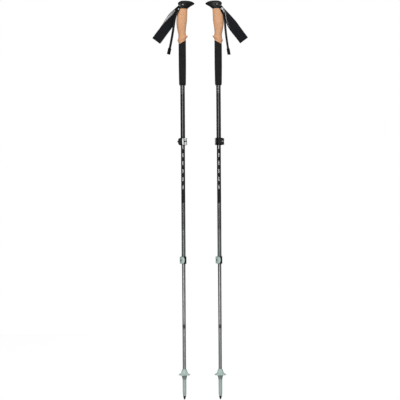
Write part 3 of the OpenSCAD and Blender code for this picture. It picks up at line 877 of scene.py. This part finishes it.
class Strap:
    """The flattened loop: two legs that turn a quarter on their way to a round fold."""

    def __init__(self, side):
        self.lay, self.open = LAY[side], OPEN_GAP[side]
        self.route = spline(ROUTE, STRAP_STEPS)
        self.n = len(self.route)

    def share(self, i):
        return i / (self.n - 1)

    def twist(self, i):
        return math.radians(90 * smooth((self.share(i) - 0.04) / 0.9))

    def gap(self, i):
        """Half the space between the two legs."""
        s = self.share(i)
        return (
            ROOT_R
            + (NECK_GAP - ROOT_R) * smooth(s / 0.09)
            + (self.open - NECK_GAP) * smooth((s - 0.1) / 0.4)
            + (END_GAP - self.open) * smooth((s - 0.5) / 0.3)
            + (TURN_R - END_GAP) * smooth((s - 0.85) / 0.15)
        )

    def bowed(self, i):
        u = max(0.0, min(1.0, (self.share(i) - 0.12) / 0.74))
        return BOW * math.sin(math.pi * u) ** 2

    def width(self, i):
        return NECK_W + (STRAP_W - NECK_W) * smooth((self.share(i) - 0.15) / 0.6)

    def directions(self, i):
        t = slope_at(self.route, i)
        return (t,) + strip_frame(t, self.twist(i), self.lay)

    def middle(self, i):
        return Vector((PIN_X + self.route[i][0], 0, PIN_Z + self.route[i][1]))

    def leg(self, i, sign, inset, trim):
        """A station of one leg: its centre, across, out and width."""
        reach = self.gap(i) - inset + (self.bowed(i) if sign > 0 else 0)
        _, out, across = self.directions(i)
        return (self.middle(i) + sign * reach * out, across, sign * out, self.width(i) - trim)

    def turn(self, i, angle, radius, trim):
        """A station of the round bend at one end of the loop."""
        t, flat, across = self.directions(i)
        out = -math.cos(angle) * flat + math.sin(angle) * Vector((t[0], 0, t[1]))
        return (self.middle(i) + radius * out, across, out, self.width(i) - trim)

    def loop(self, first, inset, trim, turns=16):
        """Down one leg from a station, round the fold and back up the other leg."""
        last = self.n - 1
        line = [self.leg(i, -1, inset, trim) for i in range(first, last)]
        line += [
            self.turn(last, math.pi * k / turns, TURN_R - inset, trim)
            for k in range(turns + 1)
        ]
        return line + [self.leg(i, 1, inset, trim) for i in range(last - 1, first - 1, -1)]

    def root(self, turns=12):
        """The bend round the pin, which closes the loop."""
        return [self.turn(0, math.pi + math.pi * k / turns, ROOT_R, 0) for k in range(1, turns)]


def ribbon(name, stations, thick, closed=False, edge=7.0, crown=0.0):
    """A flat strip with rounded edges along stations of (centre, across, out, width). A higher
    edge makes its section squarer, and crown pads the middle of its inner face."""
    points = 15
    ts = [math.sin(math.pi / 2 * (2 * k / (points - 1) - 1)) for k in range(points)]
    verts, lengths = [], [0.0]
    for i, (centre, across, out, width) in enumerate(stations):
        for sign in (1, -1):
            for t in ts if sign > 0 else ts[::-1]:
                half = thick / 2 * max(0.0, 1 - abs(t) ** edge) ** (1 / edge)
                lift = crown * (1 - t * t) if sign < 0 else 0
                rise = sign * (half + lift)
                verts.append(tuple(centre + across * (t * width / 2) + out * rise))
        if i:
            lengths.append(lengths[-1] + (centre - stations[i - 1][0]).length)
    total = lengths[-1] + (stations[0][0] - stations[-1][0]).length
    n = 2 * points
    count = len(stations)
    faces, uvs = [], []
    sides = ts + ts[::-1]
    for i in range(count if closed else count - 1):
        m = (i + 1) % count
        u0, u1 = lengths[i] * MM, (lengths[m] if m else total) * MM
        for j in range(n):
            k = (j + 1) % n
            if j == points - 1 or j == n - 1:
                continue
            faces.append((i * n + j, i * n + k, m * n + k, m * n + j))
            half = stations[i][3] / 2 * MM
            v0, v1 = sides[j] * half, sides[k] * half
            uvs.append([(u0, v0), (u0, v1), (u1, v1), (u1, v0)])
    if not closed:
        for i in (0, count - 1):
            for j in range(points - 1):
                a, b = i * n + j, i * n + j + 1
                faces.append((a, b, i * n + n - 2 - j, i * n + n - 1 - j))
                uvs.append([(0, 0)] * 4)
    obj = mesh_object(name, verts, faces, uvs)
    with edited(obj) as work:
        bmesh.ops.remove_doubles(work, verts=work.verts, dist=1e-6)
    return obj


STITCH_PITCH, STITCH_LENGTH, STITCH_HALF_W, STITCH_HALF_T = 3.6, 2.5, 0.3, 0.24
STITCH_MARGIN = 2.4
# a bead's rings: the place along it and the share of its full width
BEAD = ((-1.0, 0.35), (-0.72, 0.85), (-0.3, 1.0), (0.3, 1.0), (0.72, 0.85), (1.0, 0.35))


def stitch_row(verts, faces, stations, side_sign, lift):
    """Adds a row of thread stitches near one edge of a ribbon's outer face, each a small bead."""
    travelled, due = 0.0, STITCH_PITCH
    for a, b, step in steps_of(stations):
        along = (b[0] - a[0]).normalized()
        while travelled + step >= due:
            f = (due - travelled) / step
            centre, across = a[0].lerp(b[0], f), a[1].lerp(b[1], f).normalized()
            out, width = a[2].lerp(b[2], f).normalized(), a[3] + (b[3] - a[3]) * f
            spot = centre + across * (side_sign * (width / 2 - STITCH_MARGIN)) + out * lift
            first = len(verts)
            for place, share in BEAD:
                for x, y, z in circle(share, 6, place * STITCH_LENGTH / 2):
                    offset = along * z + across * (STITCH_HALF_W * x) + out * (STITCH_HALF_T * y)
                    verts.append(tuple(spot + offset))
            bead_faces = rings_to_faces(len(BEAD), 6)
            faces += [tuple(first + corner for corner in face) for face in bead_faces]
            due += STITCH_PITCH
        travelled += step


def make_strap(side):
    strap = Strap(side)
    loop = strap.loop(0, 0, 0)
    webbing = ribbon("webbing", loop + strap.root(), WEB_T, closed=True)
    piece(webbing, side, "strap_webbing", "strap", WEBBING, True)
    first = round(LINER_START * (strap.n - 1))
    inset = (WEB_T + LINER_T) / 2 + 0.1
    lining = strap.loop(first, inset, LINER_TRIM[side])
    liner = ribbon("liner", lining, LINER_T, edge=3.2, crown=0.15)
    piece(liner, side, "strap_liner", "strap", LINER, True)
    sewn = strap.loop(first, 0, 0)
    verts, faces = [], []
    for side_sign in (-1, 1):
        stitch_row(verts, faces, sewn, side_sign, WEB_T / 2 - 0.05)
    stitches = outward(mesh_object("stitches", verts, faces))
    piece(stitches, side, "strap_stitches", "strap", THREAD, True, replaces=False)


def tail_stations(side):
    """The tail's stations. It turns along the first 12/27 of its length."""
    lay = LAY[side]
    lean = math.radians(TAIL_LEAN) * lay
    c, s = math.cos(lean), math.sin(lean)
    pin = Vector((PIN_X, 0, PIN_Z))
    line = spline(TAIL_ROUTE, TAIL_STEPS)
    stations = []
    for i, p in enumerate(line):
        share = i / (len(line) - 1)
        turn = math.radians(TAIL_TURN) * smooth(share * 27 / 12)
        out, across = strip_frame(slope_at(line, i), turn, lay)
        aside = TAIL_ASIDE[side] * smooth(share * 2.7)
        tuck = TAIL_TUCK[side] * math.sin(math.pi * min(1, share * 1.5)) ** 2
        place = Vector((p[0] + tuck, aside, p[1]))
        leaning = [
            Vector((v.x * c + v.z * s, v.y, -v.x * s + v.z * c)) for v in (place, across, out)
        ]
        stations.append((pin + leaning[0], leaning[1], leaning[2], TAIL_W))
    return stations


def make_tail(side):
    stations = tail_stations(side)
    obj = ribbon("tail", stations, WEB_T)
    piece(obj, side, "strap_tail", "strap", WEBBING, True)


# ---------------- shafts and tip


TUBE_WALL = 0.8


def make_tube(side, part, body, material):
    low, high = span(f"{side}_{part}")
    r = (high.x - low.x) / 2
    inner = r - TUBE_WALL
    outline = [(inner, low.z), (r, low.z), (r, high.z), (inner, high.z)]
    obj = lathe(part, rounded(outline, 0.3))
    shade_smooth(obj, 40)
    return piece(obj, side, part, body, material)


def make_ferrule(side):
    """The slim tip cone, with a collar under the basket and a neck inside it."""
    z = FERRULE_Z
    collar_top, neck_top, floor = BASKET_TOP_Z - 29.7, BASKET_TOP_Z - 8, 77.9
    bore_r, neck_r, collar_r, seat_r = 2.5, 6.9, 7.4, 6.05
    outline = [
        (bore_r, z), (5.5, z), (5.9, z + 2.5), (6.3, z + 12), (6.6, 34), (6.6, 70),
        (collar_r, 73.5), (collar_r, collar_top), (neck_r, collar_top),
        (neck_r, neck_top), (seat_r, neck_top), (seat_r, floor), (bore_r, floor),
    ]
    obj = lathe("ferrule", rounded(outline, 0.5))
    shade_smooth(obj, 38)
    return piece(obj, side, "tip_ferrule", "lower", MINT_PLASTIC)


def make_basket(side):
    """A small basket: a hub on the ferrule's neck, a notched rim and low ribs on top."""
    low, high = span(f"{side}_basket")
    rim = (high.x - low.x) / 2
    top = BASKET_TOP_Z
    seat_r, hub_r = 6.15, 6.95
    outline = [
        (seat_r, top), (7.8, top), (9, top - 3), (11, top - 10), (11.8, top - 13.6),
        (14, top - 14.8), (17, top - 16.4), (rim, top - 18.2), (rim, top - 20.8),
        (16.4, top - 20.3), (12.4, top - 19.8), (10.2, top - 22.5), (9, top - 25),
        (8.1, top - 29.5), (hub_r, top - 29.5), (hub_r, top - 7.8), (seat_r, top - 7.8),
    ]
    # each notch is the bite of a circle whose centre stands outside the rim
    notches, bite_r, bite_centre = 6, 4.4, rim + 2.9
    flange_r = 12.2
    ribs, rib_height = 12, 0.45

    def reshape(r, z, a):
        if r > 16:
            nearest = (a - math.pi / notches) % (2 * math.pi / notches)
            away = min(nearest, 2 * math.pi / notches - nearest)
            side_off = bite_centre * math.sin(away)
            if abs(side_off) < bite_r:
                edge = bite_centre * math.cos(away) - math.sqrt(bite_r**2 - side_off**2)
                r = min(r, flange_r + (r - flange_r) * (edge - flange_r) / (rim - flange_r))
        if r > 10.7 and z > top - 19:
            z += rib_height * max(0.0, math.cos(ribs * a)) ** 6 * smooth((rim - r) / 3)
        return r, z

    obj = lathe("basket", rounded(outline, 0.7, 4), 288, reshape)
    shade_smooth(obj, 45)
    return piece(obj, side, "basket", "lower", MINT_BASKET)


def make_carbide(side):
    """The hard tip: a cone with a small hollow in its point, and a stem inside the ferrule."""
    z = FERRULE_Z
    stem_r, axis_r = 2.45, 0.02
    outline = [
        (axis_r, 1.0), (1.1, 0.1), (1.7, 0.0), (2.3, 0.35), (2.6, 3.6), (3.6, 5.2),
        (4.5, 9.4), (4.9, z - 0.1), (stem_r, z - 0.1), (stem_r, z + 14),
        (axis_r, z + 14),
    ]
    obj = lathe("carbide", rounded(outline, 0.25), 64)
    shade_smooth(obj, 40)
    return piece(obj, side, "carbide_tip", "lower", CARBIDE)


# ---------------- CAD nodes that stay


def finish_cad(node, material, width):
    """A CAD node keeps its shape, with its edges eased by this width, and its own material."""
    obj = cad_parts[node]
    obj.data.materials.clear()
    obj.data.materials.append(material)
    weld = obj.modifiers.new("weld", "WELD")
    weld.merge_threshold = 1e-6
    ease_edges(obj, width, 3, 32)
    shade_smooth(obj)
    normals = obj.modifiers.new("normals", "WEIGHTED_NORMAL")
    normals.keep_sharp = True


def make_cam_plate(side, turn):
    """A thin steel facing on the front of the ear that the upper lever's cam presses."""
    low, high = span(f"{side}_upper_lock_collar")
    back, front, x0, x1 = -17.3, -18.0, -1.2, 3.8
    margin, ease = 2.4, 0.3
    bottom, top = low.z + margin, high.z - margin
    outline = rounded([(x0, back), (x0, front), (x1, front), (x1, back)], ease)
    levels = [(bottom, ease), (bottom + ease, 0.0), (top - ease, 0.0), (top, ease)]
    c, s = math.cos(math.radians(turn)), math.sin(math.radians(turn))
    verts = []
    for z, inset in levels:
        for x, y in outline:
            x += inset if x < (x0 + x1) / 2 else -inset
            verts.append((x * c - y * s, x * s + y * c, z))
    obj = outward(mesh_object("plate", verts, rings_to_faces(len(levels), len(outline))))
    shade_smooth(obj, 30)
    return piece(obj, side, "cam_plate", "upper", SILVER, replaces=False)


# which way each upper lock faces, in degrees
UPPER_LOCK_TURN = {"left": -3, "right": 88}
# each node's material, slot and eased edge width
CAD_FINISHES = {
    "upper_lock_collar": (BLACK_PLASTIC, "black_plastic", 0.5),
    "lower_lock_collar": (BLACK_PLASTIC, "black_plastic", 0.45),
    "upper_lock_lever": (SILVER, "silver_lever", 0.5),
    "lower_lock_lever": (MINT_LEVER, "mint_lever", 0.5),
    "upper_lock_pin": (DARK_STEEL, "steel", 0.25),
    "lower_lock_pin": (DARK_STEEL, "steel", 0.25),
    "upper_lock_screw": (DARK_STEEL, "steel", 0.2),
    "lower_lock_screw": (DARK_STEEL, "steel", 0.2),
    "grip_rivet": (RIVET_STEEL, "steel", 0.4),
    "strap_pin": (DARK_STEEL, "steel", 0.2),
    "strap_block": (NYLON, "nylon", 0.2),
    "tail_tab": (BLACK_PLASTIC, "black_plastic", 0.9),
    "middle_bush": (NYLON, "nylon", 0.3),
    "lower_bush": (NYLON, "nylon", 0.3),
}

for side in SIDES:
    make_cork(side)
    make_head(side)
    make_cap(side)
    make_foam(side)
    make_strap(side)
    make_tail(side)
    make_tube(side, "upper_shaft", "upper", UPPER_SHAFT)
    make_tube(side, "middle_shaft", "middle", MIDDLE_SHAFT)
    make_tube(side, "lower_shaft", "lower", LOWER_SHAFT)
    make_ferrule(side)
    make_basket(side)
    make_carbide(side)
    make_cam_plate(side, UPPER_LOCK_TURN[side])
    for part, (material, slot, width) in CAD_FINISHES.items():
        finish_cad(f"{side}_{part}", material, width)


# ---------------- studio


FLOOR_HALF = 3000
# how strongly the floor glows to look at, and how strongly it lights the poles
GLOW_SEEN, GLOW_LIGHT = 0.93, 0.25
# the room is white to look at, and gives less light than it shows
ROOM_SEEN, ROOM_LIGHT = 1.0, 0.26


def make_floor():
    h = FLOOR_HALF
    floor = mesh_object("floor", [(-h, -h, 0), (h, -h, 0), (h, h, 0), (-h, h, 0)], [(0, 1, 2, 3)])
    g = Graph("floor_white", 0.9, Specular_IOR_Level=0.1, Emission_Color=(1, 1, 1, 1))
    seen = g.node("ShaderNodeLightPath").outputs["Is Camera Ray"]
    glow = g.math("MULTIPLY_ADD", seen, GLOW_SEEN - GLOW_LIGHT, GLOW_LIGHT)
    g.set(g.shader, "Emission Strength", glow)
    color = g.mix(g.noise(2.0), (0.10, 0.10, 0.10, 1), (0.12, 0.12, 0.12, 1))
    floor.data.materials.append(g.done(color))


def area_light(name, place, target, size, power):
    light = bpy.data.lights.new(name, "AREA")
    light.shape = "RECTANGLE"
    light.size, light.size_y = size
    light.energy = power
    obj = bpy.data.objects.new(name, light)
    obj.location = place
    obj.rotation_euler = (Vector(target) - Vector(place)).to_track_quat("-Z", "Y").to_euler()
    obj.visible_camera = False
    scene.collection.objects.link(obj)


def make_lights():
    """A large soft box in front, a fill at the right, one overhead and one behind, in a grey room."""
    area_light("front", (-0.5, -3.0, 1.0), (0, 0, 0.75), (0.9, 2.8), 72)
    area_light("fill", (2.6, -1.8, 1.0), (0, 0, 0.7), (0.8, 2.6), 8)
    area_light("overhead", (0, -0.6, 3.4), (0, 0, 0), (3.0, 2.0), 34)
    area_light("back", (0.4, 3.2, 1.2), (0, 0, 0.75), (1.2, 2.8), 14)
    world = bpy.data.worlds.new("studio")
    world.use_nodes = True
    tree = world.node_tree
    background = tree.nodes["Background"]
    backdrop = tree.nodes.new("ShaderNodeBackground")
    for node, strength in ((background, ROOM_LIGHT), (backdrop, ROOM_SEEN)):
        node.inputs[0].default_value = (1, 1, 1, 1)
        node.inputs[1].default_value = strength
    seen = tree.nodes.new("ShaderNodeLightPath")
    either = tree.nodes.new("ShaderNodeMixShader")
    tree.links.new(seen.outputs["Is Camera Ray"], either.inputs[0])
    tree.links.new(background.outputs[0], either.inputs[1])
    tree.links.new(backdrop.outputs[0], either.inputs[2])
    tree.links.new(either.outputs[0], tree.nodes["World Output"].inputs[0])
    scene.world = world


def make_camera():
    """Level with the middle of the poles, with a long lens, so that they fill the picture's
    height. It rolls a little, as in the photograph."""
    distance, picture_height, sensor = 6.0, 1.4044, 36
    aim_x, aim_z, roll = -0.0043, 0.6998, 0.385
    data = bpy.data.cameras.new("camera")
    data.sensor_width = data.sensor_height = sensor
    data.lens = sensor * distance / picture_height
    camera = bpy.data.objects.new("camera", data)
    camera.location = (aim_x, -distance, aim_z)
    camera.rotation_euler = (math.radians(90), math.radians(roll), 0)
    scene.collection.objects.link(camera)
    scene.camera = camera


make_floor()
make_lights()
make_camera()
scene.view_settings.view_transform = "Standard"
